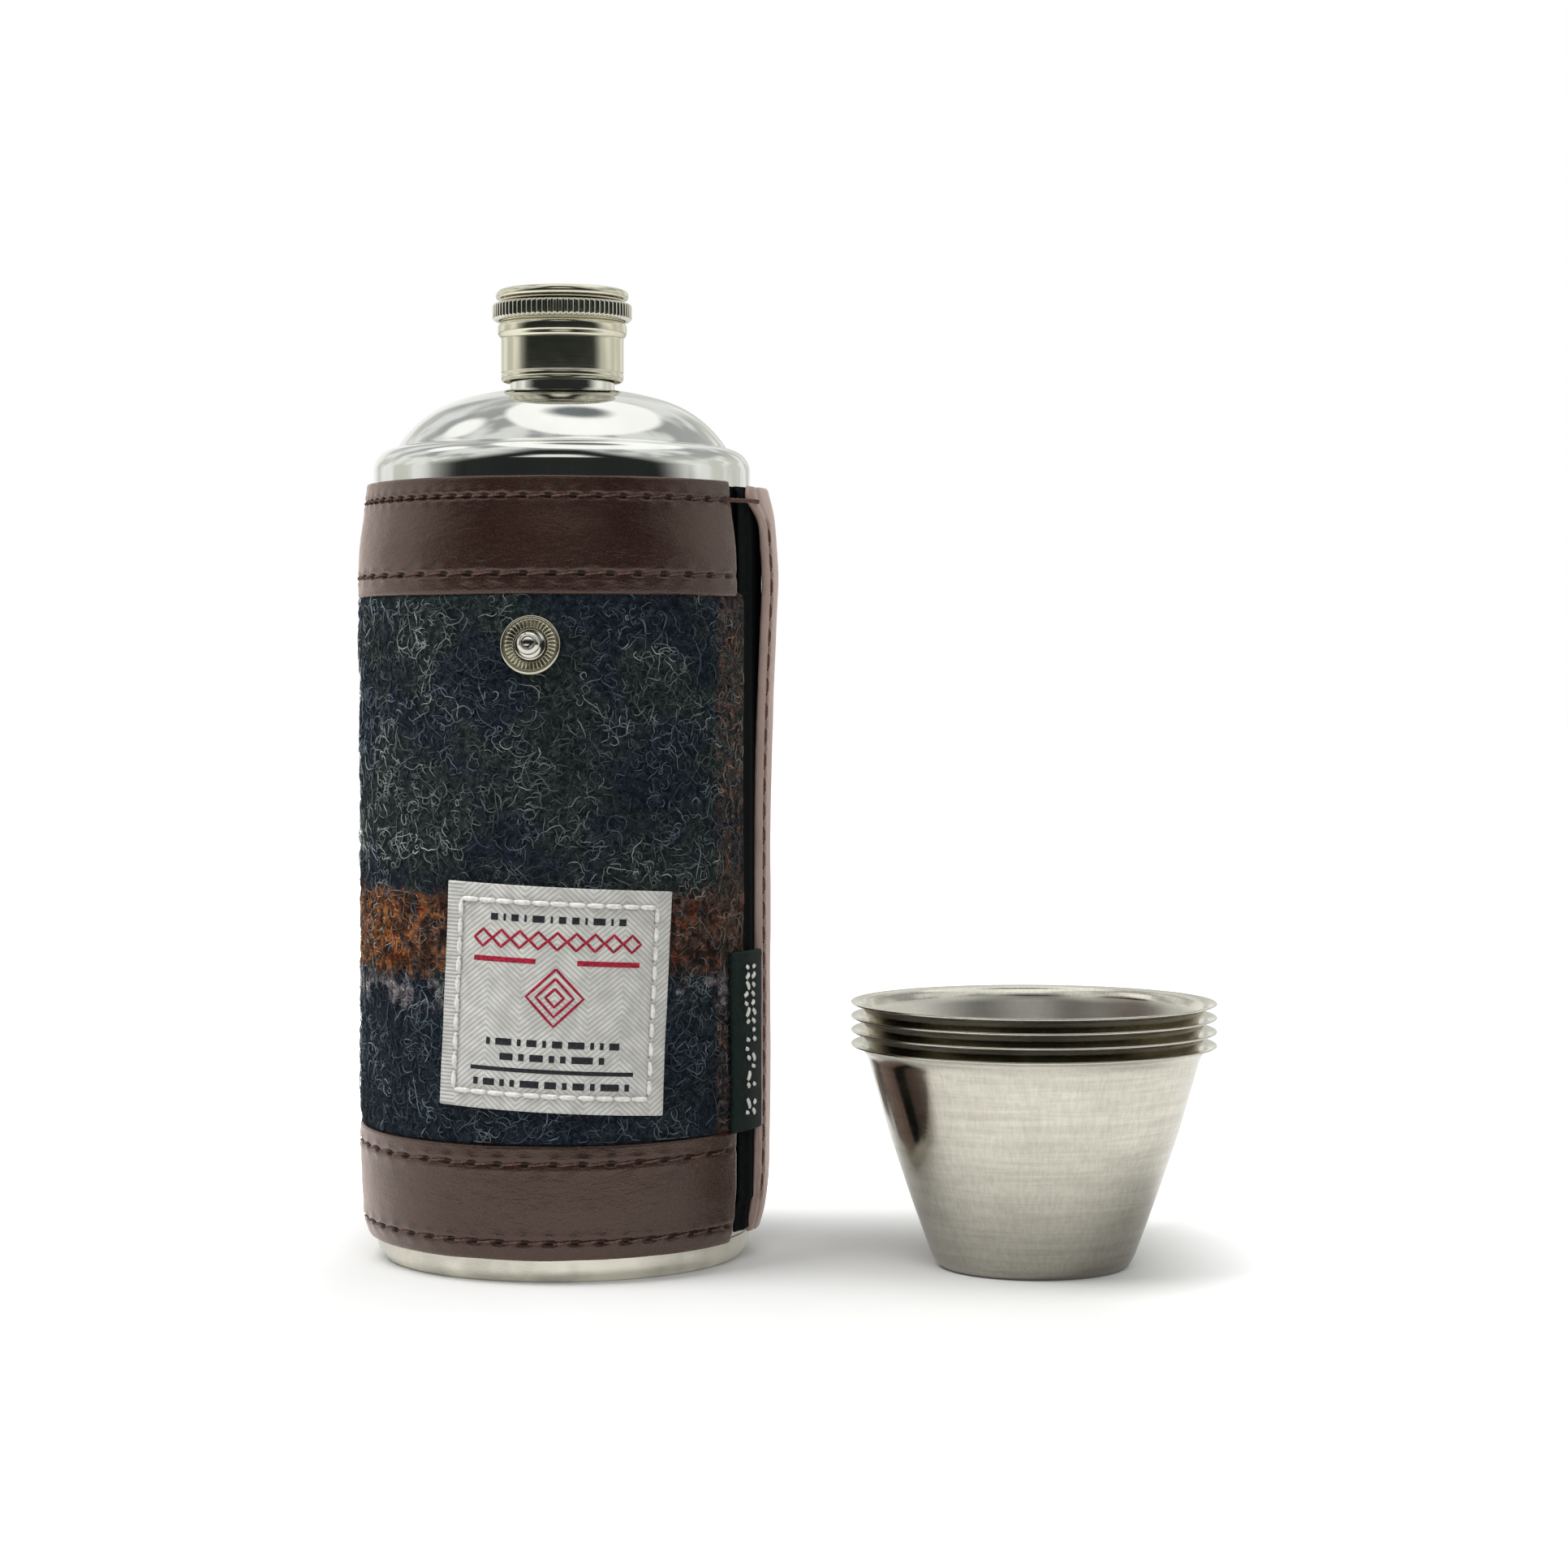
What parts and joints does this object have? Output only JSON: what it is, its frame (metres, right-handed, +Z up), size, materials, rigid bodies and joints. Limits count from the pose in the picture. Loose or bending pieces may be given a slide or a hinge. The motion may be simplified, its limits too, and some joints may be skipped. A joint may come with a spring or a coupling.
{
  "type": "hunter's flask with cups",
  "caption": "Round steel bottle in a sewn tweed and leather sleeve, with a screw cap, a press-stud strap and nested cups standing beside it.",
  "frame": {"origin": "centre of the bottle's flat base, on the surface that the flask and its cups stand on", "axes": "+Z up along the bottle's axis, the press stud faces -Y, and the cups stand on the +X side"},
  "size_m": [0.1466, 0.1491, 0.166],
  "materials": {
    "satin_steel": "satin stainless steel",
    "polished_steel": "mirror-polished stainless steel",
    "nickel_plate": "bright warm nickel",
    "cup_steel": "brushed round the cup, bright at the rim",
    "silicone": "matt food-grade silicone",
    "tweed": "hairy woollen tweed, charcoal and navy with rust bands",
    "brown_leather": "smooth pigmented leather with a fine grain",
    "black_lining": "matt black lining cloth",
    "label_cloth": "white herringbone-woven label",
    "tag_cloth": "dark green woven satin"
  },
  "bodies": {
    "flask": {"bottle_wall": "satin_steel", "bottle_base": "satin_steel", "bottle_shoulder": "polished_steel", "neck_collar": "nickel_plate", "sleeve_lining": "black_lining", "tweed_panel": "tweed", "top_leather_band": "brown_leather", "bottom_leather_band": "brown_leather", "seam_backing": "black_lining", "seam_strip": "brown_leather", "woven_label": "label_cloth", "side_tag": "tag_cloth", "stud_flange": "nickel_plate", "stud_post": "nickel_plate", "stud_back_plate": "satin_steel", "strap_anchor": "brown_leather"},
    "cap_seal": {"cap_seal": "silicone"},
    "screw_cap": {"cap_shell": "nickel_plate", "cap_thread_insert": "satin_steel", "cap_knurled_ring": "nickel_plate", "cap_top_disc": "nickel_plate"},
    "strap_back": {"strap_back": "brown_leather"},
    "strap_crown": {"strap_crown": "brown_leather"},
    "strap_front": {"strap_front": "brown_leather"},
    "strap_bend": {"strap_bend": "brown_leather"},
    "strap_drop": {"strap_drop": "brown_leather"},
    "strap_tab": {"strap_tab": "brown_leather", "snap_socket": "nickel_plate", "snap_cap": "nickel_plate", "snap_spring": "satin_steel"},
    "cup_1": {"cup_1": "cup_steel"},
    "cup_2": {"cup_2": "cup_steel"},
    "cup_3": {"cup_3": "cup_steel"},
    "cup_4": {"cup_4": "cup_steel"}
  },
  "joints": [
    {"name": "cap_rise", "type": "slide", "parent": "flask", "child": "cap_seal", "axis": [0, 0, 1], "range_m": [0, 0.0073]},
    {"name": "cap_turn", "type": "hinge", "parent": "cap_seal", "child": "screw_cap", "pos_m": [0, 0, 0.155], "axis": [0, 0, 1], "range_deg": [0, 1080]},
    {"name": "strap_fold", "type": "hinge", "parent": "flask", "child": "strap_back", "pos_m": [0, 0.0378, 0.1335], "axis": [1, 0, 0], "range_deg": [0, 196.8]},
    {"name": "strap_crown_bend", "type": "hinge", "parent": "strap_back", "child": "strap_crown", "pos_m": [0, 0.04263, 0.07831], "axis": [1, 0, 0], "range_deg": [0, 67.3]},
    {"name": "strap_front_bend", "type": "hinge", "parent": "strap_crown", "child": "strap_front", "pos_m": [0, 0.04622, 0.0441], "axis": [1, 0, 0], "range_deg": [0, 51.5]},
    {"name": "strap_floor_bend", "type": "hinge", "parent": "strap_front", "child": "strap_bend", "pos_m": [0, 0.05855, 0.00615], "axis": [1, 0, 0], "range_deg": [-36.7, 0]},
    {"name": "snap_press", "type": "hinge", "parent": "strap_bend", "child": "strap_drop", "pos_m": [0, 0.06623, 0.00391], "axis": [1, 0, 0], "range_deg": [0, 6.5]},
    {"name": "strap_tab_bend", "type": "hinge", "parent": "strap_drop", "child": "strap_tab", "pos_m": [0, 0.07602, 0.00104], "axis": [1, 0, 0], "range_deg": [-28.6, 0]},
    {"name": "cup_1_lift", "type": "slide", "parent": "flask", "child": "cup_1", "axis": [0, 0, 1], "range_m": [0, 0.05]},
    {"name": "cup_2_lift", "type": "slide", "parent": "cup_1", "child": "cup_2", "axis": [0, 0, 1], "range_m": [0, 0.05]},
    {"name": "cup_3_lift", "type": "slide", "parent": "cup_2", "child": "cup_3", "axis": [0, 0, 1], "range_m": [0, 0.05]},
    {"name": "cup_4_lift", "type": "slide", "parent": "cup_3", "child": "cup_4", "axis": [0, 0, 1], "range_m": [0, 0.05]}
  ],
  "couplings": [
    {"joint": "cap_rise", "follows": "cap_turn", "m_per_rad": 0.00038197},
    {"joint": "strap_crown_bend", "follows": "strap_fold", "ratio": 0.34146},
    {"joint": "strap_front_bend", "follows": "strap_fold", "ratio": 0.26118},
    {"joint": "strap_floor_bend", "follows": "strap_fold", "ratio": -0.18598},
    {"joint": "strap_tab_bend", "follows": "strap_fold", "ratio": -0.14482}
  ]
}
